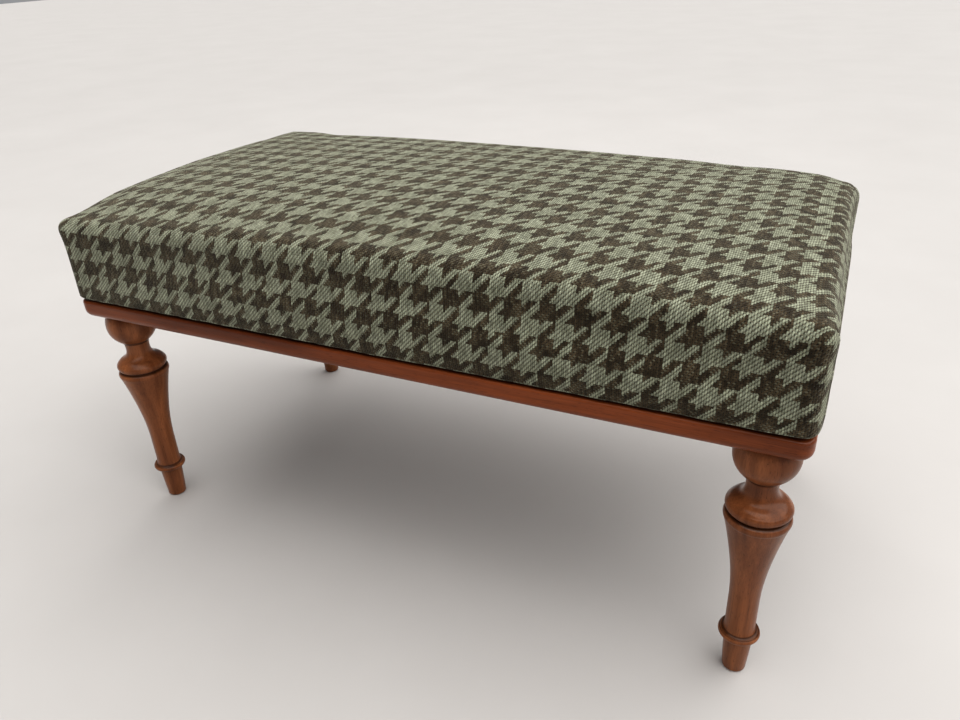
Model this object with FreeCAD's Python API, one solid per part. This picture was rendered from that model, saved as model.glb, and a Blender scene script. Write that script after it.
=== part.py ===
import FreeCAD, Part
import os

# Upholstered bench: a deep foam pad, covered in houndstooth cloth, on a moulded hardwood frame
# with four turned legs that screw into the frame's corners.
# Millimetres. The origin is on the floor under the middle of the bench, +X runs along its
# length, -Y is its front and +Z is up.

Vector = FreeCAD.Vector
UP = Vector(0, 0, 1)

# Driving dimensions
LENGTH = 800.0
WIDTH = 434.0
LEG_HEIGHT = 270.0
RAIL_THICKNESS = 21.0
RAIL_WIDTH = 70.0
LEG_INSET = 35.0             # from the frame's outer edges to each leg's axis
PAD_GAP = 2.0                # between the frame and the underside of the cloth
PAD_HEIGHT = 120.0           # from the underside of the cloth to the top of the crown

# Moulded edge of the frame
TOP_ROUND = 3.0
BOTTOM_ROUND = 9.5
CORNER_ROUND = 13.0          # plan radius of the corners

# Pad, measured to the outside of the cloth
PAD_OVERHANG = 1.5           # its sides swell this far past the frame's edge
CORNER_DROP = 28.0           # from the middle of the top down to its corners
SIDE_DROP = 15.0             # from the middle of the top down to the middle of each side
PAD_CORNER = 16.0            # plan radius of its upright corners
PAD_SHOULDER = 15.0          # rounding of the top edge
PAD_FOOT_ROUND = 5.0         # rounding where the cloth turns under the board
CLOTH = 1.2
WADDING = 4.0
BOARD_THICKNESS = 12.0
TURN_IN = 42.0               # cloth folded under the board, from the pad's side
DUST_COVER = 0.4
DUST_COVER_INSET = 8.0       # from the board's edge
LAYER_GAP = 0.1              # between layers that only lie on each other

# Fixings
BOLT_RADIUS = 4.0
BOLT_LENGTH = 50.0
BOLT_IN_LEG = 31.0
NUT_FLANGE_RADIUS = 10.0
NUT_FLANGE = 1.5
NUT_BARREL_RADIUS = 5.0
NUT_BARREL = 12.0
NUT_PRONG = (1.2, 3.5, 7.0)  # thickness, width and length of each prong
DOWEL_RADIUS = 4.0
DOWEL_LENGTH = 40.0
DOWEL_SPREAD = 17.0          # each side of a rail's centre line
SCREW_RADIUS = 2.1
SCREW_HEAD_RADIUS = 4.2
SCREW_HEAD = 2.6
SCREW_LENGTH = 32.0
STAPLE_CROWN = 10.0
STAPLE_WIRE = 0.6
STAPLE_LEG = 8.0
STAPLE_PITCH = 45.0
CLOTH_STAPLE_INSET = 26.0    # from the board's edge
DUST_STAPLE_INSET = 14.0
RUNNING_GAP = 0.1            # between a fixing and its hole

# Heights and distances that follow
RAIL_TOP = LEG_HEIGHT + RAIL_THICKNESS
CLOTH_FOOT = RAIL_TOP + PAD_GAP
BOARD_FOOT = CLOTH_FOOT + CLOTH + LAYER_GAP
BOARD_TOP = BOARD_FOOT + BOARD_THICKNESS
PAD_TOP = CLOTH_FOOT + PAD_HEIGHT
HALF_LENGTH = LENGTH / 2
HALF_WIDTH = WIDTH / 2
LEG_X = HALF_LENGTH - LEG_INSET
LEG_Y = HALF_WIDTH - LEG_INSET
SIDES = (-1, 1)
LEG_PLACES = {
    "leg_front_left": (-LEG_X, -LEG_Y),
    "leg_front_right": (LEG_X, -LEG_Y),
    "leg_back_left": (-LEG_X, LEG_Y),
    "leg_back_right": (LEG_X, LEG_Y),
}


def export(name, shape):
    shape.exportStep("parts/" + name + ".step")


def box(low, high):
    """A box between two corners."""
    return Part.makeBox(high[0] - low[0], high[1] - low[1], high[2] - low[2], Vector(*low))


def rod(radius, x, y, low, high):
    """An upright cylinder from one height to another."""
    return Part.makeCylinder(radius, high - low, Vector(x, y, low), UP)


def line(start, end):
    return Part.LineSegment(Vector(start[0], 0, start[1]), Vector(end[0], 0, end[1])).toShape()


def arc(start, middle, end):
    points = [Vector(p[0], 0, p[1]) for p in (start, middle, end)]
    return Part.Arc(*points).toShape()


def bend(start, pull, end):
    """A parabola that leaves its start and reaches its end along the lines to the pull point."""
    curve = Part.BezierCurve()
    curve.setPoles([Vector(p[0], 0, p[1]) for p in (start, pull, end)])
    return curve.toShape()


def turned(edges):
    """The solid that a lathe makes from a closed outline of radius against height."""
    outline = Part.Wire(edges)
    return Part.Face(outline).revolve(Vector(0, 0, 0), UP, 360)


# Legs

def leg():
    """Peg foot, ankle ring, trumpet shaft with a lip, groove, saucer, neck and bun."""
    foot = 8.8
    peg = 13.6
    stem = 14.1
    lip = 28.5
    groove = 25.4
    saucer = 27.6
    neck = 13.7
    bun = 23.5
    edges = [
        line((0, 0), (foot, 0)),
        arc((foot, 0), (10.5, 1.0), (11.2, 3.4)),
        bend((11.2, 3.4), (12.2, 14), (peg, 43.4)),
        bend((peg, 43.4), (peg, 43.8), (16.2, 43.8)),
        arc((16.2, 43.8), (19.4, 47.0), (18.0, 50.2)),
        bend((18.0, 50.2), (17.0, 49.3), (15.2, 50.8)),
        bend((15.2, 50.8), (stem, 53), (stem, 61)),
        line((stem, 61), (stem, 92)),
        bend((stem, 92), (14.3, 114), (18.6, 139)),
        bend((18.6, 139), (22.9, 164), (lip, 184.5)),
        arc((lip, 184.5), (29.4, 187.6), (lip, 190.6)),
        bend((lip, 190.6), (26.8, 192.2), (groove, 192.4)),
        line((groove, 192.4), (groove, 193.8)),
        bend((groove, 193.8), (26.6, 193.9), (saucer, 195)),
        arc((saucer, 195), (28.9, 198.8), (26.9, 202.8)),
        bend((26.9, 202.8), (24.8, 205.8), (20.6, 207.6)),
        bend((20.6, 207.6), (neck, 210.8), (neck, 220)),
        bend((neck, 220), (neck, 226), (15.2, 229.8)),
        line((15.2, 229.8), (16.3, 230.4)),
        bend((16.3, 230.4), (28.4, 239.2), (28.4, 253)),
        bend((28.4, 253), (28.4, 262), (bun, LEG_HEIGHT)),
        line((bun, LEG_HEIGHT), (0, LEG_HEIGHT)),
        line((0, LEG_HEIGHT), (0, 0)),
    ]
    bolt_hole = rod(BOLT_RADIUS + RUNNING_GAP, 0, 0, LEG_HEIGHT - BOLT_IN_LEG - 1, LEG_HEIGHT)
    return turned(edges).cut(bolt_hole)


def hanger_bolt():
    """Wood thread with a point in the leg, machine thread with a chamfer in the tee nut."""
    low = LEG_HEIGHT - BOLT_IN_LEG
    high = low + BOLT_LENGTH
    point = 6.0
    waist = BOLT_RADIUS - 0.6
    chamfer = 1.0
    edges = [
        line((0, low), (BOLT_RADIUS, low + point)),
        line((BOLT_RADIUS, low + point), (BOLT_RADIUS, LEG_HEIGHT - 4)),
        line((BOLT_RADIUS, LEG_HEIGHT - 4), (waist, LEG_HEIGHT - 3)),
        line((waist, LEG_HEIGHT - 3), (waist, LEG_HEIGHT + 1)),
        line((waist, LEG_HEIGHT + 1), (BOLT_RADIUS, LEG_HEIGHT + 2)),
        line((BOLT_RADIUS, LEG_HEIGHT + 2), (BOLT_RADIUS, high - chamfer)),
        line((BOLT_RADIUS, high - chamfer), (BOLT_RADIUS - chamfer, high)),
        line((BOLT_RADIUS - chamfer, high), (0, high)),
        line((0, high), (0, low)),
    ]
    return turned(edges)


def tee_nut_body():
    """A tee nut with no bore: flange, barrel and four prongs driven into the rail."""
    flange_foot = RAIL_TOP - NUT_FLANGE
    flange = rod(NUT_FLANGE_RADIUS, 0, 0, flange_foot, RAIL_TOP)
    barrel = rod(NUT_BARREL_RADIUS, 0, 0, flange_foot - NUT_BARREL, RAIL_TOP)
    thickness, width, length = NUT_PRONG
    far = NUT_FLANGE_RADIUS - 1.0
    prong = box((far - thickness, -width / 2, flange_foot - length), (far, width / 2, RAIL_TOP))
    prongs = [prong.rotated(Vector(0, 0, 0), UP, 90 * i) for i in range(4)]
    return flange.fuse([barrel] + prongs).removeSplitter()


def tee_nut():
    bore = rod(BOLT_RADIUS + RUNNING_GAP, 0, 0, RAIL_TOP - NUT_BARREL - NUT_FLANGE, RAIL_TOP)
    return tee_nut_body().cut(bore)


def at_each_leg(shape):
    return [shape.translated(Vector(x, y, 0)) for x, y in LEG_PLACES.values()]


# Frame

def level_edges(shape, height):
    """The edges that lie at one height."""
    return [e for e in shape.Edges if all(abs(v.Z - height) < 0.01 for v in e.Vertexes)]


def rounded_prism(half_x, half_y, radius, low, high):
    """A block with rounded upright corners."""
    block = box((-half_x, -half_y, low), (half_x, half_y, high))
    upright = [e for e in block.Edges if abs(e.Vertexes[0].Z - e.Vertexes[1].Z) > 0.5 * (high - low)]
    return block.makeFillet(radius, upright)


def moulded_board():
    """The frame's outer form before its middle is taken out."""
    blank = rounded_prism(HALF_LENGTH, HALF_WIDTH, CORNER_ROUND, LEG_HEIGHT, RAIL_TOP)
    eased = blank.makeFillet(TOP_ROUND, level_edges(blank, RAIL_TOP))
    return eased.makeFillet(BOTTOM_ROUND, level_edges(eased, LEG_HEIGHT))


def dowel_axes():
    """The place of each dowel, which lies along Y across a joint between two rails."""
    joint = HALF_WIDTH - RAIL_WIDTH
    centres = (-HALF_LENGTH + RAIL_WIDTH / 2, 0, HALF_LENGTH - RAIL_WIDTH / 2)
    level = LEG_HEIGHT + RAIL_THICKNESS / 2
    spots = [(x + side * DOWEL_SPREAD) for x in centres for side in SIDES]
    return [(x, side * joint, level) for x in spots for side in SIDES]


def dowel(place, radius, length):
    x, y, z = place
    return Part.makeCylinder(radius, length, Vector(x, y - length / 2, z), Vector(0, 1, 0))


def seat_screw_places():
    long_rails = [(x, side * LEG_Y) for x in (-270, -90, 90, 270) for side in SIDES]
    end_rails = [(side * LEG_X, y) for y in (-70, 70) for side in SIDES]
    middle_rail = [(0, -80), (0, 80)]
    return long_rails + end_rails + middle_rail


def seat_screw(x, y, gap):
    """A countersunk screw from under the rail into the seat board, grown by a gap."""
    low = LEG_HEIGHT - gap
    head = SCREW_HEAD_RADIUS + gap
    shank = SCREW_RADIUS + gap
    tip = LEG_HEIGHT + SCREW_LENGTH + gap
    edges = [
        line((0, low), (head, low)),
        line((head, low), (head, LEG_HEIGHT + 0.4)),
        line((head, LEG_HEIGHT + 0.4), (shank, LEG_HEIGHT + SCREW_HEAD)),
        line((shank, LEG_HEIGHT + SCREW_HEAD), (shank, tip - 4)),
        line((shank, tip - 4), (0, tip)),
        line((0, tip), (0, low)),
    ]
    return turned(edges).translated(Vector(x, y, 0))


def frame_rails():
    """Five rails: two long ones, the two ends and one across the middle, doweled together."""
    inner_x = HALF_LENGTH - RAIL_WIDTH
    inner_y = HALF_WIDTH - RAIL_WIDTH
    low, high = LEG_HEIGHT - 1, RAIL_TOP + 1
    zones = {
        "front_rail": ((-HALF_LENGTH, -HALF_WIDTH, low), (HALF_LENGTH, -inner_y, high)),
        "back_rail": ((-HALF_LENGTH, inner_y, low), (HALF_LENGTH, HALF_WIDTH, high)),
        "left_rail": ((-HALF_LENGTH, -inner_y, low), (-inner_x, inner_y, high)),
        "right_rail": ((inner_x, -inner_y, low), (HALF_LENGTH, inner_y, high)),
        "middle_rail": ((-RAIL_WIDTH / 2, -inner_y, low), (RAIL_WIDTH / 2, inner_y, high)),
    }
    board = moulded_board()
    cutters = [dowel(place, DOWEL_RADIUS + RUNNING_GAP, DOWEL_LENGTH + 2) for place in dowel_axes()]
    cutters += [seat_screw(x, y, RUNNING_GAP) for x, y in seat_screw_places()]
    cutters += at_each_leg(tee_nut_body())
    clearance = rod(NUT_BARREL_RADIUS, 0, 0, LEG_HEIGHT - 1, RAIL_TOP - NUT_FLANGE)
    cutters += at_each_leg(clearance)
    tools = Part.makeCompound(cutters)
    return {name: board.common(box(*zone)).cut(tools) for name, zone in zones.items()}


# Pad

def under_crown(half_x, half_y, top):
    """The space under a soft crown, highest in the middle, lower at the sides and at the corners."""
    inner = 7 / 8                # weight of the inner poles halfway along a curve of degree 4
    side_rise = (CORNER_DROP - SIDE_DROP) / inner
    middle_rise = (CORNER_DROP - 2 * inner * (1 - inner) * side_rise) / inner ** 2
    surface = Part.BezierSurface()
    surface.increase(4, 4)
    for i in range(5):
        for j in range(5):
            rims = (i in (0, 4)) + (j in (0, 4))
            rise = (middle_rise, side_rise, 0)[rims]
            pole = Vector(half_x * (i - 2) / 2, half_y * (j - 2) / 2, top - CORNER_DROP + rise)
            surface.setPole(i + 1, j + 1, pole)
    return surface.toShape().extrude(Vector(0, 0, -2 * PAD_HEIGHT))


def pad_form(inset, foot):
    """The pad's form moved inwards by an inset, with straight sides down to a foot height."""
    half_x = HALF_LENGTH + PAD_OVERHANG - inset
    half_y = HALF_WIDTH + PAD_OVERHANG - inset
    block = rounded_prism(half_x, half_y, PAD_CORNER - inset, foot, PAD_TOP + 1)
    form = block.common(under_crown(half_x + 1, half_y + 1, PAD_TOP - inset)).Solids[0]
    rim = [e for e in form.Edges if all(v.Z > PAD_TOP - 2 * CORNER_DROP for v in e.Vertexes)]
    return form.makeFillet(PAD_SHOULDER - inset, rim)


def turned_under(inset):
    """The pad's form with its lower edge rounded in, as the cloth turns under the board."""
    form = pad_form(inset, CLOTH_FOOT + inset)
    return form.makeFillet(PAD_FOOT_ROUND - inset, level_edges(form, CLOTH_FOOT + inset))


def board_half_sizes():
    inset = CLOTH + WADDING + 2 * LAYER_GAP - PAD_OVERHANG
    return HALF_LENGTH - inset, HALF_WIDTH - inset


def staple(top):
    """A wire staple driven upwards, its crown along X with this top."""
    half = STAPLE_CROWN / 2
    wire = STAPLE_WIRE / 2
    bridge = box((-half, -wire, top - STAPLE_WIRE), (half, wire, top))
    legs = [box((x - wire, -wire, top - STAPLE_WIRE), (x + wire, wire, top + STAPLE_LEG))
            for x in (wire - half, half - wire)]
    return bridge.fuse(legs).removeSplitter()


def staple_row(inset, top):
    """Staples side by side right round the board, each along the board's nearest edge."""
    edge_x, edge_y = board_half_sizes()
    reach_x, reach_y = edge_x - inset, edge_y - inset
    model = staple(top)
    upright = model.rotated(Vector(0, 0, 0), UP, 90)
    across = 2 * round((reach_x - STAPLE_PITCH / 2) / STAPLE_PITCH) + 1
    along = 2 * round((reach_y - STAPLE_PITCH / 2) / STAPLE_PITCH) + 1
    xs = [STAPLE_PITCH * (i - (across - 1) / 2) for i in range(across)]
    ys = [STAPLE_PITCH * (i - (along - 1) / 2) for i in range(along)]
    long_sides = [model.translated(Vector(x, side * reach_y, 0)) for x in xs for side in SIDES]
    short_sides = [upright.translated(Vector(side * reach_x, y, 0)) for y in ys for side in SIDES]
    return Part.makeCompound(long_sides + short_sides)


def pad_parts():
    """Board, foam, wadding, cloth and dust cover, with the staples and screws that hold them."""
    half_x, half_y = board_half_sizes()
    dust_crown = RAIL_TOP + LAYER_GAP + STAPLE_WIRE
    dust_foot = dust_crown + LAYER_GAP
    cloth_staples = staple_row(CLOTH_STAPLE_INSET, CLOTH_FOOT - LAYER_GAP)
    dust_staples = staple_row(DUST_STAPLE_INSET, dust_crown)
    screw_holes = [seat_screw(x, y, RUNNING_GAP) for x, y in seat_screw_places()]
    fixings = Part.makeCompound([cloth_staples, dust_staples] + screw_holes)

    board = rounded_prism(half_x, half_y, PAD_CORNER - CLOTH - WADDING, BOARD_FOOT, BOARD_TOP)
    foam = pad_form(CLOTH + WADDING + 2 * LAYER_GAP, BOARD_TOP + LAYER_GAP)
    wadding_foot = CLOTH_FOOT + PAD_FOOT_ROUND
    core = pad_form(CLOTH + WADDING + LAYER_GAP, CLOTH_FOOT)
    wadding = pad_form(CLOTH + LAYER_GAP, wadding_foot).cut(core)
    mouth_x = HALF_LENGTH + PAD_OVERHANG - TURN_IN
    mouth_y = HALF_WIDTH + PAD_OVERHANG - TURN_IN
    mouth = box((-mouth_x, -mouth_y, CLOTH_FOOT - 1), (mouth_x, mouth_y, BOARD_FOOT))
    cover = turned_under(0).cut(turned_under(CLOTH)).cut(mouth)
    dust_x, dust_y = half_x - DUST_COVER_INSET, half_y - DUST_COVER_INSET
    dust_cover = box((-dust_x, -dust_y, dust_foot), (dust_x, dust_y, dust_foot + DUST_COVER))
    return {
        "seat_board": board.cut(fixings),
        "foam_block": foam,
        "wadding": wadding,
        "cloth_cover": cover.cut(fixings),
        "cloth_staples": cloth_staples,
        "dust_cover": dust_cover.cut(fixings),
        "dust_cover_staples": dust_staples,
    }


def fixings():
    dowels = [dowel(place, DOWEL_RADIUS, DOWEL_LENGTH) for place in dowel_axes()]
    screws = [seat_screw(x, y, 0) for x, y in seat_screw_places()]
    return {
        "rail_dowels": Part.makeCompound(dowels),
        "hanger_bolts": Part.makeCompound(at_each_leg(hanger_bolt())),
        "tee_nuts": Part.makeCompound(at_each_leg(tee_nut())),
        "seat_screws": Part.makeCompound(screws),
    }


if __name__ == "__main__":
    os.makedirs("parts", exist_ok=True)
    parts = {**frame_rails(), **pad_parts(), **fixings()}
    for name, (x, y) in LEG_PLACES.items():
        parts[name] = leg().translated(Vector(x, y, 0))
    for name, shape in parts.items():
        export(name, shape)
        print(name, shape.isValid(), len(shape.Solids), round(shape.Volume / 1000, 1), "cm3")
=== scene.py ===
import math

import bpy
import numpy as np
from mathutils import Matrix, Vector


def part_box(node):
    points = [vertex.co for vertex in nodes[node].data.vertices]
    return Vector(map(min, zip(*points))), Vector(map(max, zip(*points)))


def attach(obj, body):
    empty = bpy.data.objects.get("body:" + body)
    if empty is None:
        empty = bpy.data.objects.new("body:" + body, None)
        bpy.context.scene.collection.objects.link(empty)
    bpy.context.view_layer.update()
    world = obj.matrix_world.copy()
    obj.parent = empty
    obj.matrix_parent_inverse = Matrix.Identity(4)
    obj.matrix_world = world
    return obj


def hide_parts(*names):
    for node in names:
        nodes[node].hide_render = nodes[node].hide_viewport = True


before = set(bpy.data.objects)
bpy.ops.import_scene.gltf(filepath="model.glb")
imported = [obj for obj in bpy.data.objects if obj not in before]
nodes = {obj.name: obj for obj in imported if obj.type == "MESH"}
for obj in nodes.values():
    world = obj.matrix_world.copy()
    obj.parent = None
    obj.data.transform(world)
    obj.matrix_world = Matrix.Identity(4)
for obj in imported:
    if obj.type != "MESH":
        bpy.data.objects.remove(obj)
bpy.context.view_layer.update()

# Looks of an upholstered bench: a houndstooth pad on a moulded, lacquered frame with turned legs.
# Metres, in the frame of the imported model: origin on the floor under the middle, front is -Y.

MM = 0.001


# Node graphs

class Graph:
    """Builds one material's nodes. A value is a number, a tuple or another node's output."""

    def __init__(self, name):
        self.material = bpy.data.materials.new(name)
        self.material.use_nodes = True
        self.tree = self.material.node_tree
        self.tree.nodes.clear()
        self.output = self.tree.nodes.new("ShaderNodeOutputMaterial")

    def put(self, socket, value):
        if isinstance(value, bpy.types.NodeSocket):
            self.tree.links.new(value, socket)
        else:
            socket.default_value = value

    def node(self, kind, inputs=None, **settings):
        made = self.tree.nodes.new("ShaderNode" + kind)
        for key, value in settings.items():
            setattr(made, key, value)
        for key, value in (inputs or {}).items():
            self.put(made.inputs[key], value)
        return made

    def math(self, operation, *values):
        made = self.node("Math", operation=operation)
        for socket, value in zip(made.inputs, values):
            self.put(socket, value)
        return made.outputs[0]

    def vector_math(self, operation, a, b):
        return self.node("VectorMath", {0: a, 1: b}, operation=operation).outputs[0]

    def combine(self, x, y, z=0.0):
        return self.node("CombineXYZ", {0: x, 1: y, 2: z}).outputs[0]

    def split(self, vector):
        return self.node("SeparateXYZ", {0: vector}).outputs

    def ramp(self, value, low, high, out_low=0.0, out_high=1.0):
        """A smooth step from out_low at low to out_high at high."""
        inputs = {0: value, 1: low, 2: high, 3: out_low, 4: out_high}
        return self.node("MapRange", inputs, interpolation_type="SMOOTHSTEP").outputs[0]

    def noise(self, vector, scale, detail=2.0, roughness=0.5):
        inputs = {"Vector": vector, "Scale": scale, "Detail": detail, "Roughness": roughness}
        return self.node("TexNoise", inputs).outputs["Fac"]

    def mix(self, share, a, b):
        """Colour a where the share is 0, colour b where it is 1."""
        made = self.node("Mix", {"Factor": share}, data_type="RGBA")
        for key, colour in (("A", a), ("B", b)):
            fixed = isinstance(colour, tuple)
            self.put(made.inputs[key], (*colour, 1.0) if fixed else colour)
        return made.outputs["Result"]

    def shade(self, colour, value, low, high):
        """The colour times a grey that goes from low to high with the value."""
        grey = self.ramp(value, 0.0, 1.0, low, high)
        return self.vector_math("MULTIPLY", colour, self.combine(grey, grey, grey))

    def bump(self, height, distance, strength):
        inputs = {"Height": height, "Distance": distance, "Strength": strength}
        return self.node("Bump", inputs).outputs[0]

    def surface(self, **inputs):
        """The finished material. Input names are the shader's own, with _ for a space."""
        named = {key.replace("_", " "): value for key, value in inputs.items()}
        shader = self.node("BsdfPrincipled", named)
        self.tree.links.new(shader.outputs[0], self.output.inputs[0])
        return self.material

    def place(self):
        """Position in the bench's frame."""
        return self.node("TexCoord").outputs["Object"]


# Cloth

REPEAT_U = 30.15 * MM        # houndstooth repeat along the bench
REPEAT_V = 32.3 * MM         # and across it
PHASE_U = 22.3 * MM
PHASE_V = 4.6 * MM           # the star's place, measured as a height on the front
YARN_U = 2.0 * MM            # spacing of the yarns
YARN_V = 2.1 * MM
DESIGN_STEPS = 8             # steps in one repeat: half of them brown, half sage
WEFT_HEIGHT = 0.72           # how high the yarns across stand, beside those along
# How the weave wanders: size of the waves (per metre), reach, shift between the two
DRIFTS = ((9.0, 5 * MM, 0.0), (130.0, 0.6 * MM, 3.1))
SAGE = (0.268, 0.284, 0.213)
SAGE_DEEP = (0.185, 0.196, 0.141)
BROWN = (0.022, 0.0155, 0.008)
BROWN_LIGHT = (0.060, 0.044, 0.025)
CLOTH_PLACE = "cloth_place"  # each face corner's place on the flat cloth


def houndstooth_cloth():
    """Sage and brown yarns, closely woven, with large houndstooth stars in the brown."""
    g = Graph("houndstooth")
    flat = g.node("Attribute", attribute_name=CLOTH_PLACE).outputs["Vector"]
    u, v, _ = g.split(flat)
    for scale, reach, shift in DRIFTS:
        drift_u = g.noise(g.vector_math("ADD", flat, (shift, 0.0, 0.0)), scale, 1.0)
        drift_v = g.noise(g.vector_math("ADD", flat, (0.0, shift + 7.7, 0.0)), scale, 1.0)
        u = g.math("ADD", u, g.math("MULTIPLY", g.math("SUBTRACT", drift_u, 0.5), reach))
        v = g.math("ADD", v, g.math("MULTIPLY", g.math("SUBTRACT", drift_v, 0.5), reach))

    # Which yarns cross here, and how far from the middle of each
    column = g.math("DIVIDE", u, YARN_U)
    row = g.math("DIVIDE", v, YARN_V)
    column_no = g.math("FLOOR", column)
    row_no = g.math("FLOOR", row)
    across = g.math("SUBTRACT", g.math("SUBTRACT", column, column_no), 0.5)
    along = g.math("SUBTRACT", g.math("SUBTRACT", row, row_no), 0.5)

    def design_step(yarn_no, yarn, phase, repeat):
        """The place in the design of the middle of a yarn, in steps."""
        step = g.math("MULTIPLY", g.math("ADD", yarn_no, 0.5), DESIGN_STEPS * yarn / repeat)
        return g.math("SUBTRACT", step, DESIGN_STEPS * phase / repeat)

    def first_half(step, length):
        return g.math("LESS_THAN", g.math("FLOORED_MODULO", step, length), length / 2)

    # The houndstooth: brown and sage bands in both sets of yarns, crossed in a two-and-two twill
    design_u = design_step(column_no, YARN_U, PHASE_U, REPEAT_U)
    design_v = design_step(row_no, YARN_V, PHASE_V, REPEAT_V)
    dark_warp = first_half(design_u, DESIGN_STEPS)
    dark_weft = first_half(design_v, DESIGN_STEPS)
    warp_up = first_half(g.math("SUBTRACT", design_u, design_v), DESIGN_STEPS / 2)
    weft_up = g.math("SUBTRACT", 1.0, warp_up)
    warp_star = g.math("MULTIPLY", warp_up, dark_warp)
    weft_star = g.math("MULTIPLY", weft_up, dark_weft)
    star = g.math("ADD", warp_star, weft_star)

    def rounded_off(distance, narrowing):
        """1 on the axis, falling to 0 at 1 / narrowing to each side."""
        fall = g.math("POWER", g.math("MULTIPLY", distance, narrowing), 2.0)
        return g.math("MAXIMUM", g.math("SUBTRACT", 1.0, fall), 0.0)

    def floats(run, crossing_no, aside, start, narrowing, lean):
        """Rounded floats two yarns long, staggered from yarn to yarn and leaning to one side."""
        place = g.math("ADD", g.math("ADD", run, crossing_no), start)
        along_float = g.math("SUBTRACT", g.math("FLOORED_MODULO", place, 2.0), 1.0)
        off_axis = g.math("SUBTRACT", aside, g.math("MULTIPLY", along_float, lean))
        body = rounded_off(off_axis, narrowing)
        ends = rounded_off(along_float, 1.15)
        return g.math("SQRT", g.math("MULTIPLY", body, ends))

    warp = floats(row, column_no, across, start=0.5, narrowing=2.2, lean=0.22)
    weft = floats(column, row_no, along, start=1.5, narrowing=2.5, lean=-0.12)
    weft = g.math("MULTIPLY", weft, WEFT_HEIGHT)
    height = g.math("MAXIMUM", warp, weft)
    on_weft = g.math("GREATER_THAN", weft, warp)

    # Colour: uneven dye, a different tone in each float, and painted shade in the gaps between them
    # and on the lower weft floats
    float_no = g.combine(column_no, g.math("FLOOR", g.math("DIVIDE", row, 3.0)))
    slub = g.node("TexWhiteNoise", {"Vector": float_no}).outputs["Value"]
    tone = g.noise(flat, 75.0, 4.0, 0.6)
    hairs = g.noise(g.vector_math("MULTIPLY", flat, (1.0, 0.45, 1.0)), 1700.0, 3.0, 0.7)
    sage = g.mix(g.ramp(tone, 0.3, 0.7), SAGE_DEEP, SAGE)
    brown = g.mix(g.ramp(tone, 0.3, 0.7), BROWN, BROWN_LIGHT)
    sage = g.shade(sage, slub, 0.76, 1.22)
    brown = g.shade(brown, slub, 0.65, 1.25)
    # Painted shade: in the sage, the weft floats, which lie lower, are mixed part way towards brown
    in_sage = g.mix(g.math("MULTIPLY", on_weft, 0.55), sage, BROWN_LIGHT)
    glint = g.math("MULTIPLY", on_weft, g.ramp(slub, 0.35, 0.9))
    in_star = g.mix(g.math("MULTIPLY", glint, 0.20), brown, sage)
    colour = g.mix(star, in_sage, in_star)
    # Painted shade and highlight: darker down in the gaps between floats, lighter on their crowns
    colour = g.shade(colour, g.ramp(height, 0.12, 0.85), 0.20, 1.20)
    colour = g.shade(colour, g.ramp(hairs, 0.32, 0.68), 0.72, 1.30)

    relief = g.math("ADD", height, g.math("MULTIPLY", hairs, 0.5))
    normal = g.bump(relief, 0.8 * MM, 0.9)
    rough = g.ramp(hairs, 0.3, 0.7, 0.78, 0.96)
    return g.surface(Base_Color=colour, Roughness=rough, Normal=normal, Specular_IOR_Level=0.18,
                     Sheen_Weight=0.21, Sheen_Roughness=0.4, Sheen_Tint=(0.95, 0.92, 0.78, 1.0))


def lining_cloth():
    """Black spun-bonded lining, embossed with rows of small dimples."""
    g = Graph("spun_bonded_lining")
    place = g.place()
    x, y, _ = g.split(place)
    pitch = 1.6 * MM
    waves = [g.math("SINE", g.math("MULTIPLY", axis, math.tau / pitch)) for axis in (x, y)]
    dimple = g.ramp(g.math("MULTIPLY", waves[0], waves[1]), 0.2, 0.9)
    fibre = g.noise(place, 900.0, 4.0, 0.7)
    relief = g.math("SUBTRACT", g.math("MULTIPLY", fibre, 0.5), dimple)
    colour = g.mix(fibre, (0.012, 0.012, 0.013), (0.035, 0.034, 0.033))
    rough = g.ramp(dimple, 0.0, 1.0, 0.85, 0.55)
    return g.surface(Base_Color=colour, Roughness=rough, Normal=g.bump(relief, 0.2 * MM, 0.7),
                     Sheen_Weight=0.2, Sheen_Roughness=0.6)


# Wood and metal

# Linear colours of the stain, where it is dark and where it is light
RAIL_STAIN = ((0.098, 0.023, 0.006), (0.205, 0.052, 0.014))
LEG_STAIN = ((0.128, 0.042, 0.0155), (0.265, 0.098, 0.038))
# Grooves of the turned legs: height, and how far the painted shade and the stain gathered in each
# spread
UNDER_RING = (43.6 * MM, 1.5 * MM)
OVER_RING = (51.0 * MM, 1.8 * MM)
UNDER_SAUCER = (193.1 * MM, 3.0 * MM)
UNDER_BUN = (230.2 * MM, 3.5 * MM)


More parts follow.
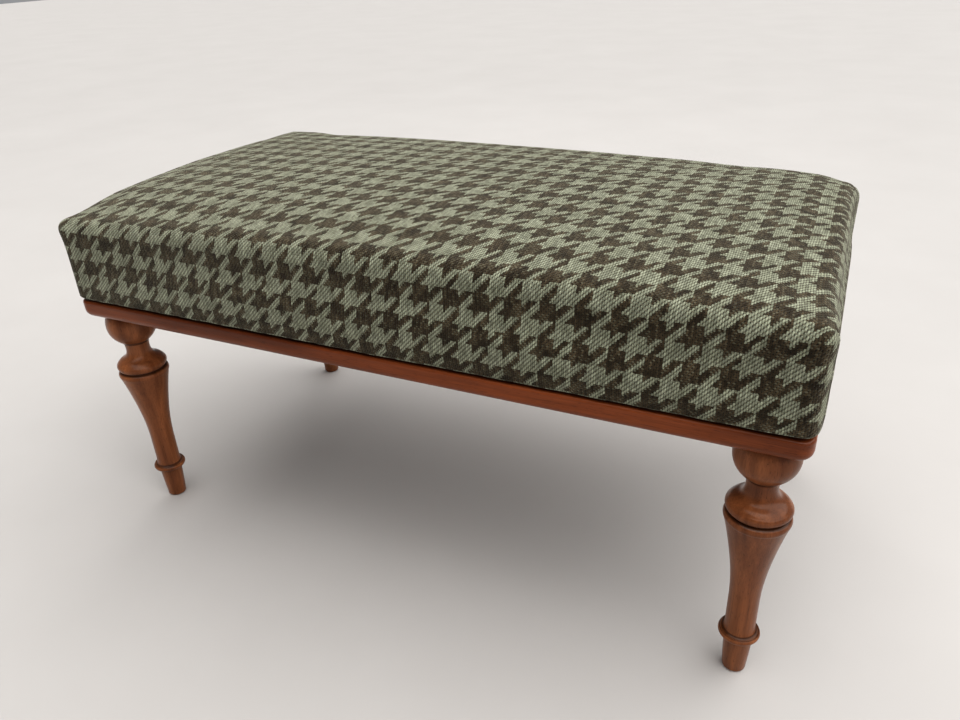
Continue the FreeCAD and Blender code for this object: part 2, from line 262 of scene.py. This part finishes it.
def stained_wood(name, grain, dark, light, grooves=()):
    """Stained, lacquered beech with its grain along one axis: 0, 1 or 2 for x, y or z."""
    g = Graph(name)
    place = g.place()
    stretch = [1.0, 1.0, 1.0]
    stretch[grain] = 0.07
    figure = g.vector_math("MULTIPLY", place, tuple(stretch))
    stretch[grain] = 0.02
    fibres = g.vector_math("MULTIPLY", place, tuple(stretch))
    cloud = g.noise(figure, 38.0, 3.0, 0.55)
    band = g.noise(figure, 160.0, 3.0, 0.6)
    line = g.noise(fibres, 900.0, 3.0, 0.65)
    fleck = g.ramp(g.noise(figure, 1500.0, 1.0), 0.63, 0.72)
    colour = g.mix(g.ramp(cloud, 0.32, 0.68), dark, light)
    colour = g.shade(colour, band, 0.74, 1.24)
    colour = g.shade(colour, line, 0.72, 1.26)
    colour = g.shade(colour, fleck, 1.0, 0.62)
    z = g.split(place)[2]
    # Painted shade, with stain gathered there: the colour darkens towards the middle of each groove
    for level, reach in grooves:
        away = g.math("ABSOLUTE", g.math("SUBTRACT", z, level))
        colour = g.shade(colour, g.ramp(away, 0.3 * reach, reach), 0.35, 1.0)
    wipe = g.noise(place, 24.0, 4.0, 0.6)
    rough = g.ramp(wipe, 0.3, 0.7, 0.30, 0.46)
    relief = g.math("SUBTRACT", g.math("MULTIPLY", line, 0.5), g.math("MULTIPLY", fleck, 0.6))
    coat_relief = g.noise(place, 110.0, 2.0)
    return g.surface(Base_Color=colour, Roughness=rough, Normal=g.bump(relief, 0.12 * MM, 0.5),
                     Specular_IOR_Level=0.12, Coat_Weight=0.5, Coat_IOR=1.3, Coat_Roughness=0.14,
                     Coat_Normal=g.bump(coat_relief, 0.25 * MM, 0.25))


def raw_wood(name, grain, dark, light):
    """Bare, sanded timber with its grain along one axis."""
    g = Graph(name)
    stretch = [1.0, 1.0, 1.0]
    stretch[grain] = 0.04
    fibres = g.vector_math("MULTIPLY", g.place(), tuple(stretch))
    line = g.noise(fibres, 600.0, 4.0, 0.6)
    cloud = g.noise(fibres, 60.0, 2.0)
    colour = g.shade(g.mix(cloud, dark, light), line, 0.8, 1.15)
    rough = g.ramp(line, 0.3, 0.7, 0.6, 0.8)
    return g.surface(Base_Color=colour, Roughness=rough, Normal=g.bump(line, 0.1 * MM, 0.6))


def plated_steel(name, tint, rough_low, rough_high):
    """Zinc plate: a faint mottle of crystals and rubbed, duller patches."""
    g = Graph(name)
    place = g.place()
    crystal = g.node("TexVoronoi", {"Vector": place, "Scale": 900.0}).outputs["Color"]
    mottle = g.split(crystal)[0]
    rub = g.noise(place, 320.0, 4.0, 0.7)
    colour = g.shade(g.mix(rub, tint, tuple(0.75 * c for c in tint)), mottle, 0.85, 1.1)
    rough = g.ramp(rub, 0.3, 0.7, rough_low, rough_high)
    normal = g.bump(rub, 0.05 * MM, 0.5)
    return g.surface(Base_Color=colour, Metallic=1.0, Roughness=rough, Normal=normal)


def finish_cad_nodes():
    """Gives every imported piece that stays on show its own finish."""
    grooves = (UNDER_SAUCER, UNDER_BUN, UNDER_RING, OVER_RING)
    along_x = stained_wood("rail_wood_x", 0, *RAIL_STAIN)
    along_y = stained_wood("rail_wood_y", 1, *RAIL_STAIN)
    turned = stained_wood("leg_wood_turned", 2, *LEG_STAIN, grooves)
    beech = raw_wood("dowel_beech", 1, (0.42, 0.27, 0.15), (0.58, 0.40, 0.24))
    birch = raw_wood("plywood_birch", 0, (0.46, 0.31, 0.17), (0.60, 0.44, 0.27))
    zinc = plated_steel("zinc_plate", (0.60, 0.60, 0.56), 0.22, 0.42)
    wire = plated_steel("staple_zinc", (0.55, 0.55, 0.54), 0.28, 0.5)
    finishes = {
        "front_rail": along_x, "back_rail": along_x,
        "left_rail": along_y, "right_rail": along_y, "middle_rail": along_y,
        "rail_dowels": beech, "seat_board": birch,
        "hanger_bolts": zinc, "tee_nuts": zinc, "seat_screws": zinc,
        "cloth_staples": wire, "dust_cover_staples": wire,
    }
    for name, node in nodes.items():
        if name.startswith("leg_"):
            finishes[name] = turned
        if name in finishes:
            for slot in node.material_slots:
                slot.material = finishes[name]


# Pad

ROUND = 15.5 * MM            # top edge and upright corners
FOOT_ROUND = 5.0 * MM
STEP = 6.0 * MM              # of the mesh along and across the pad
ROUND_STEPS = 6              # through each rounding
FOOT_STEPS = 3
WALL_STEPS = 12
CORNER_DROP = 28.0 * MM      # from the middle of the top to its corners
SIDE_DROP = 15.0 * MM        # from the middle of the top to the middle of each side
LAST_FRAME = 20              # of the cloth simulation
SWELL = 4.0 * MM             # the most that the cloth moves as it fills
SETTLE = 1.5 * MM            # how far it sinks between its firm corners
CORNER_REACH = 90.0 * MM     # how far along each side a corner stays firm
DOG_EAR = 5.0 * MM           # how far the folded cloth stands out at the front top corners
EAR_REACH = 16.0 * MM
EASE_REACH = 60.0 * MM       # how far over the top the cloth takes to lie straight again
FOLD = 0.8 * MM              # width of the step at a corner pleat
FLAP = 1.3 * MM              # height of that step
FLAP_REACH = 16.0 * MM       # how far from the step the folded cloth lies flat again
STAPLE_PITCH = 45.0 * MM
STAPLE_PULL = 0.35 * MM
LUMPS = 0.5 * MM             # unevenness of the filling
PLUMP = 8.0 * MM             # how much fuller the left end is, behind its front corner
PLUMP_BACK = 2.0 * MM        # and how much more at the back left corner
PLUMP_FROM = 0.03            # where that begins and is full, as shares of the pad's width
PLUMP_FULL = 0.20
WORN = 12.0 * MM             # how far the back right corner has been pressed down
WORN_REACH = 28.0 * MM
ARCH_MIDDLE = 7 / 8          # arch() at the middle of a side
TOUCH = 0.001 * MM           # two places nearer than this are the same


def grid_lines(low, high, extra=()):
    """Coordinates across the pad: fine steps through each rounding and even ones between."""
    ends = np.linspace(0, ROUND, ROUND_STEPS + 1)
    count = round((high - low - 2 * ROUND) / STEP)
    middle = np.linspace(low + ROUND, high - ROUND, count + 1)
    return np.unique(np.round(np.concatenate([low + ends, high - ends, middle, extra]), 7))


def box_skin(xs, ys, zs):
    """The skin of a box as vertices, quads and each quad's side, with vertices on the given lines."""
    index = {}
    points = []
    quads = []
    sides = []

    def at(i, j, k):
        key = (i, j, k)
        if key not in index:
            index[key] = len(points)
            points.append((xs[i], ys[j], zs[k]))
        return index[key]

    def patch(side, across, up, make):
        for a in range(across - 1):
            for b in range(up - 1):
                ring = [make(a, b), make(a + 1, b), make(a + 1, b + 1), make(a, b + 1)]
                quads.append([at(*corner) for corner in ring])
                sides.append(side)

    last_x, last_y, last_z = len(xs) - 1, len(ys) - 1, len(zs) - 1
    patch("top", len(xs), len(ys), lambda a, b: (a, b, last_z))
    patch("foot", len(ys), len(xs), lambda a, b: (b, a, 0))
    patch("front", len(xs), len(zs), lambda a, b: (a, 0, b))
    patch("back", len(zs), len(xs), lambda a, b: (b, last_y, a))
    patch("left", len(zs), len(ys), lambda a, b: (0, b, a))
    patch("right", len(ys), len(zs), lambda a, b: (last_x, a, b))
    return np.array(points), quads, sides


def share_across(value, half):
    """0 at -half, 1 at +half."""
    return np.clip((value / half + 1) / 2, 0, 1)


def arch(share):
    """A flat-topped arch: 0 at both ends, ARCH_MIDDLE in the middle."""
    return 1 - share ** 4 - (1 - share) ** 4


def smooth_step(share):
    return share * share * (3 - 2 * share)


class Pad:
    """The pad's form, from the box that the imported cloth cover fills."""

    def __init__(self):
        low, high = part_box("cloth_cover")
        self.half_x, self.half_y = high.x, high.y
        self.foot = low.z
        self.corner_top = high.z - CORNER_DROP
        self.wall_top = self.corner_top - ROUND
        self.side_rise = (CORNER_DROP - SIDE_DROP) / ARCH_MIDDLE
        pleat = self.half_y - ROUND - FOLD
        self.xs = grid_lines(-self.half_x, self.half_x)
        self.ys = grid_lines(-self.half_y, self.half_y, (-pleat, pleat))
        foot_lines = self.foot + np.linspace(0, FOOT_ROUND, FOOT_STEPS + 1)
        side_lines = np.linspace(self.foot + FOOT_ROUND, self.wall_top, WALL_STEPS + 1)
        top_lines = self.wall_top + np.linspace(0, ROUND, ROUND_STEPS + 1)
        self.zs = np.unique(np.round(np.concatenate([foot_lines, side_lines, top_lines]), 7))

    def rounded(self, box_points):
        """Box points moved onto the form with rounded corners and edges."""
        p = box_points.copy()
        inner = np.array([self.half_x - ROUND, self.half_y - ROUND])
        core = np.clip(p[:, :2], -inner, inner)
        out = p[:, :2] - core
        up = np.maximum(p[:, 2] - self.wall_top, 0)
        lower = np.maximum(self.foot + FOOT_ROUND - p[:, 2], 0)
        far = np.max(np.abs(np.column_stack([out, up])), axis=1)
        length = np.linalg.norm(np.column_stack([out, up]), axis=1)
        scale = np.where(length > 0, far / np.maximum(length, 1e-9), 1.0)
        flat_length = np.linalg.norm(out, axis=1)
        flat_far = np.max(np.abs(out), axis=1)
        flat_scale = np.where(flat_length > 0, flat_far / np.maximum(flat_length, 1e-9), 1.0)
        above = p[:, 2] > self.foot + FOOT_ROUND
        plan = core + out * np.where(above, scale, flat_scale)[:, None]
        z = np.where(above & (up > 0), self.wall_top + up * scale, p[:, 2])
        on_side = (flat_far >= ROUND * 0.999) & (lower > 0)
        tuck = FOOT_ROUND - np.sqrt(np.maximum(FOOT_ROUND ** 2 - lower ** 2, 0))
        inset = np.where(on_side, tuck, np.where(lower > 0, FOOT_ROUND * flat_far / ROUND, 0))
        outward = out / np.maximum(flat_length, 1e-9)[:, None]
        return np.column_stack([plan - outward * inset[:, None], z])

    def crowned(self, p):
        """The rounded form with its crown: full in the middle, lower at the sides and corners."""
        side = self.side_rise
        from_sides = 2 * ARCH_MIDDLE * (1 - ARCH_MIDDLE) * side
        middle = (CORNER_DROP - from_sides) / ARCH_MIDDLE ** 2
        long = arch(share_across(p[:, 0], self.half_x))
        wide = arch(share_across(p[:, 1], self.half_y))
        rise = middle * long * wide + side * (long * (1 - wide) + wide * (1 - long))
        share = (p[:, 2] - self.foot) / (self.corner_top - self.foot)
        q = p.copy()
        q[:, 2] += (rise + self.uneven(p[:, 0], p[:, 1])) * share
        return q

    def uneven(self, x, y):
        """Extra height where the filling is plump, along the left end, less at the worn corner."""
        from_left = share_across(x, self.half_x)
        from_front = share_across(y, self.half_y)
        start = np.clip((from_front - PLUMP_FROM) / (PLUMP_FULL - PLUMP_FROM), 0, 1)
        plump = PLUMP * smooth_step(start) + PLUMP_BACK * from_front ** 3
        away = np.hypot(self.half_x - x, self.half_y - y)
        return plump * (1 - from_left) ** 3 - WORN * np.exp(-(away / WORN_REACH) ** 2)

    def wall_level(self, along, half):
        """Height at which a side wall turns over, at places along it."""
        straight = (self.wall_top - self.foot) / (self.corner_top - self.foot)
        return self.wall_top + straight * self.side_rise * arch(share_across(along, half))

    def firmness(self, box_points):
        """0 at the upright corners, growing to 1 some way along the sides."""
        from_x = self.half_x - np.abs(box_points[:, 0])
        from_y = self.half_y - np.abs(box_points[:, 1])
        return smooth_step(np.clip(np.hypot(from_x, from_y) / CORNER_REACH, 0, 1))

    def flat_place(self, corners, sides):
        """Where each face corner lies on the flat cloth, whose rows hang level on the front."""
        inner_x, inner_y = self.half_x - ROUND, self.half_y - ROUND
        quarter = ROUND * math.pi / 4
        x, y, z = corners.T

        def around(beyond):
            """Length round a rounding, from how far the box point lies beyond its start."""
            return ROUND * np.arctan(np.maximum(beyond, 0) / ROUND)

        def over_top(value, inner):
            level_part = np.minimum(np.abs(value), inner)
            return np.sign(value) * (level_part + around(np.abs(value) - inner))

        def height_up_wall(level):
            straight = (np.minimum(z, self.wall_top) - self.foot) / (self.wall_top - self.foot)
            return self.foot + straight * (level - self.foot) + around(z - self.wall_top)

        level_x = self.wall_level(x, self.half_x)
        level_y = self.wall_level(y, self.half_y)
        middle = self.wall_level(0.0, 1.0)
        up_long, up_end = height_up_wall(level_x), height_up_wall(level_y)
        across = over_top(y, inner_y)
        reach = inner_y + quarter
        slump = np.exp(-(reach + across) / EASE_REACH) - np.exp(-(reach - across) / EASE_REACH)
        v_top = middle + quarter + reach + across - (middle - level_x) * slump
        far_edge = 2 * (middle + quarter + reach)
        u_top = over_top(x, inner_x)
        u_end = np.sign(x) * (inner_x + 2 * quarter + level_y - up_end)
        u_wrap = np.sign(x) * (inner_x + 2 * quarter - around(np.abs(y) - inner_y))
        on_end = np.isin(sides, ("left", "right"))
        on_long = np.isin(sides, ("front", "back"))
        wrapped = on_end & (np.abs(y) > inner_y + TOUCH)
        up = np.where(wrapped, up_end, up_long)
        v_wall = np.where(y < 0, up, far_edge - up)
        u = np.where(wrapped, u_wrap, np.where(on_end, u_end, u_top))
        v = np.where(on_long | wrapped, v_wall, v_top)
        return np.column_stack([u, v])


def smooth_noise(points, lengths, seed):
    """Three sine waves of each length, with fixed directions and phases, about -1 to 1."""
    random = np.random.default_rng(seed)
    total = np.zeros(len(points))
    waves = np.repeat(lengths, 3)
    for length in waves:
        direction = random.normal(size=3)
        direction /= np.linalg.norm(direction)
        total += np.sin(points @ direction * math.tau / length + random.uniform(0, math.tau))
    return total / len(waves)


def mesh_object(name, points, faces):
    mesh = bpy.data.meshes.new(name)
    mesh.from_pydata([tuple(p) for p in points], [], faces)
    mesh.validate()
    made = bpy.data.objects.new(name, mesh)
    bpy.context.scene.collection.objects.link(made)
    return made


def per_vertex(mesh, collection, key):
    """A vector for each vertex, as rows."""
    values = np.empty(len(mesh.vertices) * 3)
    collection.foreach_get(key, values)
    return values.reshape(-1, 3)


def coordinates(mesh):
    return per_vertex(mesh, mesh.vertices, "co")


def set_coordinates(mesh, points):
    mesh.vertices.foreach_set("co", np.asarray(points, dtype=np.float32).ravel())
    mesh.update()


def fill_with_pressure(piece, held, firmness):
    """Lets the cloth swell over its filling, with the held vertices still and the corners firm."""
    start = coordinates(piece.data)
    pins = piece.vertex_groups.new(name="held")
    pins.add([int(i) for i in np.nonzero(held)[0]], 1.0, "REPLACE")
    cloth = piece.modifiers.new("cloth", "CLOTH")
    cloth.settings.quality = 5
    cloth.settings.mass = 0.3
    cloth.settings.tension_stiffness = 15
    cloth.settings.compression_stiffness = 15
    cloth.settings.shear_stiffness = 5
    cloth.settings.bending_stiffness = 0.5
    cloth.settings.vertex_group_mass = "held"
    cloth.settings.use_pressure = True
    cloth.settings.uniform_pressure_force = 4.0
    cloth.settings.effector_weights.gravity = 0.0
    cloth.collision_settings.use_collision = False
    for number in range(1, LAST_FRAME + 1):
        bpy.context.scene.frame_set(number)
    graph = bpy.context.evaluated_depsgraph_get()
    moved = coordinates(piece.evaluated_get(graph).data)
    piece.modifiers.remove(cloth)
    piece.vertex_groups.clear()
    bpy.context.scene.frame_set(1)
    change = moved - start
    size = np.linalg.norm(change, axis=1)
    soft = SWELL * np.tanh(size / SWELL) * firmness
    set_coordinates(piece.data, start + change * (soft / np.maximum(size, 1e-9))[:, None])


def upholsterers_marks(pad, piece, box_points):
    """Corner pleats on the ends, pulls at the staples, settling, lumps and dog-ears."""
    p = coordinates(piece.data)
    normal = per_vertex(piece.data, piece.data.vertex_normals, "vector")
    x, y, z = box_points.T
    height = np.clip((z - pad.foot) / (pad.corner_top - pad.foot), 0, 1)
    on_end = np.abs(x) > pad.half_x - TOUCH
    on_side = (height > 0) & (on_end | (np.abs(y) > pad.half_y - TOUCH))
    crease = pad.half_y - ROUND - FOLD
    inside = on_end & (np.abs(y) <= crease + TOUCH)
    flap = FLAP * np.exp(-(crease - np.abs(y)) / FLAP_REACH)
    lift = np.where(inside, flap * np.minimum(height * 6, 1), 0)
    along = np.where(on_end, y, x)
    pull = np.cos(along / STAPLE_PITCH * math.tau) * np.exp(-height / 0.14)
    lift += np.where(on_side, STAPLE_PULL * pull, 0)
    lift -= SETTLE * pad.firmness(box_points) * np.clip(height * 4, 0, 1)
    lumps = smooth_noise(box_points, (0.16, 0.09), 5)
    lift += np.where(height > 0, LUMPS * lumps, 0)
    p += normal * lift[:, None]
    signs = np.sign(box_points[:, :2])
    tip = np.column_stack([signs * (pad.half_x, pad.half_y), np.full(len(p), pad.corner_top)])
    ear = np.where(signs[:, 1] < 0, DOG_EAR, 0)
    near = ear * np.exp(-np.sum((p - tip) ** 2, axis=1) / EAR_REACH ** 2)
    outward = np.column_stack([signs, np.ones(len(p))]) / math.sqrt(3)
    set_coordinates(piece.data, p + outward * near[:, None])


def make_pad():
    pad = Pad()
    box_points, quads, sides = box_skin(pad.xs, pad.ys, pad.zs)
    start = pad.crowned(pad.rounded(box_points))
    piece = mesh_object("upholstered_pad", start, quads)
    held = box_points[:, 2] < pad.foot + FOOT_ROUND + TOUCH
    fill_with_pressure(piece, held, pad.firmness(box_points))
    upholsterers_marks(pad, piece, box_points)
    corners = box_points[np.array(quads).ravel()]
    flat = pad.flat_place(corners, np.repeat(np.array(sides), 4))
    place = piece.data.attributes.new(CLOTH_PLACE, "FLOAT_VECTOR", "CORNER")
    values = np.column_stack([flat, np.zeros(len(flat))]).astype(np.float32)
    place.data.foreach_set("vector", values.ravel())
    piece.data.materials.append(houndstooth_cloth())
    piece.data.shade_smooth()
    finer = piece.modifiers.new("finer", "SUBSURF")
    finer.levels = 1
    finer.render_levels = 1
    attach(piece, "root")
    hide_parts("cloth_cover", "wadding", "foam_block")


# Lining

SLACK = 3.0 * MM             # how far the lining sags in the middle of each opening
CRINKLE = 0.6 * MM
LINING_STEP = 8.0 * MM       # of its mesh
LINING_THICKNESS = 0.3 * MM


def make_dust_cover():
    """The lining under the board, held between the frame and the pad, slack in the two openings."""
    low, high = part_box("dust_cover")
    rail_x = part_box("right_rail")[0].x
    rail_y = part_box("right_rail")[1].y
    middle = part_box("middle_rail")[1].x
    xs = np.linspace(low.x, high.x, round((high.x - low.x) / LINING_STEP) + 1)
    ys = np.linspace(low.y, high.y, round((high.y - low.y) / LINING_STEP) + 1)
    grid_x, grid_y = np.meshgrid(xs, ys, indexing="ij")
    half_span = (rail_x - middle) / 2
    across = 1 - ((np.abs(grid_x) - middle - half_span) / half_span) ** 2
    along = 1 - (grid_y / rail_y) ** 2
    loose = (np.clip(across, 0, 1) * np.clip(along, 0, 1)).ravel()
    points = np.column_stack([grid_x.ravel(), grid_y.ravel(), np.zeros(grid_x.size)])
    crinkle = CRINKLE * smooth_noise(points, (0.05, 0.11), 11) * np.sqrt(loose)
    points[:, 2] = (low.z + high.z) / 2 - SLACK * loose + crinkle
    columns = len(ys)
    starts = [i * columns + j for i in range(len(xs) - 1) for j in range(columns - 1)]
    faces = [(at, at + columns, at + columns + 1, at + 1) for at in starts]
    piece = mesh_object("dust_cover_lining", points, faces)
    piece.data.materials.append(lining_cloth())
    piece.data.shade_smooth()
    thick = piece.modifiers.new("thick", "SOLIDIFY")
    thick.thickness = LINING_THICKNESS
    thick.offset = 0
    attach(piece, "root")
    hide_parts("dust_cover")


# Studio

FLOOR_REACH = 14.0           # metres from the middle to each side
LAMPS_AIM = Vector((0.0, 0.0, 0.3))
CAMERA_PLACE = (0.3895, -0.7651, 0.6387)
CAMERA_TURN = 26.35          # degrees, to the left of straight ahead
CAMERA_DOWN = 28.16
CAMERA_ROLL = -2.58
CAMERA_LENS = 29.235         # millimetres, on a sensor 36 wide


def make_floor():
    g = Graph("pale_floor")
    cloud = g.noise(g.place(), 3.0, 4.0, 0.6)
    colour = g.mix(cloud, (0.435, 0.42, 0.41), (0.49, 0.475, 0.465))
    material = g.surface(Base_Color=colour, Roughness=0.7)
    signs = ((-1, -1), (1, -1), (1, 1), (-1, 1))
    corners = [(FLOOR_REACH * x, FLOOR_REACH * y, 0) for x, y in signs]
    floor = mesh_object("floor", corners, [(0, 1, 2, 3)])
    floor.data.materials.append(material)


def make_camera():
    """A viewpoint before the right-hand end, looking down across the bench to its left."""
    camera = bpy.data.objects.new("camera", bpy.data.cameras.new("camera"))
    bpy.context.scene.collection.objects.link(camera)
    turn = Matrix.Rotation(math.radians(CAMERA_TURN), 4, "Z")
    tilt = Matrix.Rotation(math.radians(90 - CAMERA_DOWN), 4, "X")
    roll = Matrix.Rotation(math.radians(CAMERA_ROLL), 4, "Z")
    camera.matrix_world = Matrix.Translation(CAMERA_PLACE) @ turn @ tilt @ roll
    camera.data.sensor_width = 36.0
    camera.data.lens = CAMERA_LENS
    camera.data.clip_start = 0.02
    camera.data.clip_end = 60.0
    bpy.context.scene.camera = camera


def hang_light(lamp, toward_lamp):
    """Puts a lamp in the scene, shining from the given direction."""
    holder = bpy.data.objects.new(lamp.name, lamp)
    bpy.context.scene.collection.objects.link(holder)
    holder.rotation_euler = Vector(toward_lamp).to_track_quat("Z", "Y").to_euler()
    return holder


def area_light(name, place, size, power, colour):
    """A rectangular lamp that faces the middle of the bench."""
    lamp = bpy.data.lights.new(name, "AREA")
    lamp.shape = "RECTANGLE"
    lamp.size = size[0]
    lamp.size_y = size[1]
    lamp.energy = power
    lamp.color = colour
    holder = hang_light(lamp, Vector(place) - LAMPS_AIM)
    holder.location = place


def make_lights():
    """A broad, soft light from above and the right, and three small lamps."""
    sky = bpy.data.lights.new("skylight", "SUN")
    sky.energy = 4.45
    sky.angle = math.radians(100)
    sky.color = (1.0, 0.985, 0.96)
    hang_light(sky, (0.35, 0.05, 1.0))
    area_light("window", (-0.9, 1.9, 1.9), (0.9, 0.7), 4.5, (1.0, 0.99, 0.97))
    area_light("overhead", (0.7, -0.6, 1.9), (0.5, 0.4), 2.2, (1.0, 0.98, 0.95))
    area_light("fill", (1.9, -1.2, 0.8), (0.6, 0.6), 0.8, (1.0, 0.96, 0.92))


def make_surround():
    """A grey surround, paler at the horizon than overhead."""
    world = bpy.data.worlds.new("studio")
    world.use_nodes = True
    tree = world.node_tree
    place = tree.nodes.new("ShaderNodeTexCoord")
    split = tree.nodes.new("ShaderNodeSeparateXYZ")
    fade = tree.nodes.new("ShaderNodeMapRange")
    fade.interpolation_type = "SMOOTHSTEP"
    fade.inputs["From Min"].default_value = 0.0
    fade.inputs["From Max"].default_value = 0.45
    fade.inputs["To Min"].default_value = 0.29
    fade.inputs["To Max"].default_value = 0.11
    tree.links.new(place.outputs["Generated"], split.inputs[0])
    tree.links.new(split.outputs[2], fade.inputs[0])
    background = tree.nodes["Background"]
    background.inputs["Color"].default_value = (0.97, 0.98, 1.0, 1.0)
    tree.links.new(fade.outputs[0], background.inputs["Strength"])
    bpy.context.scene.world = world


make_camera()
finish_cad_nodes()
make_pad()
make_dust_cover()
make_floor()
make_lights()
make_surround()
bpy.context.scene.view_settings.view_transform = "Standard"
bpy.context.scene.view_settings.look = "Medium High Contrast"
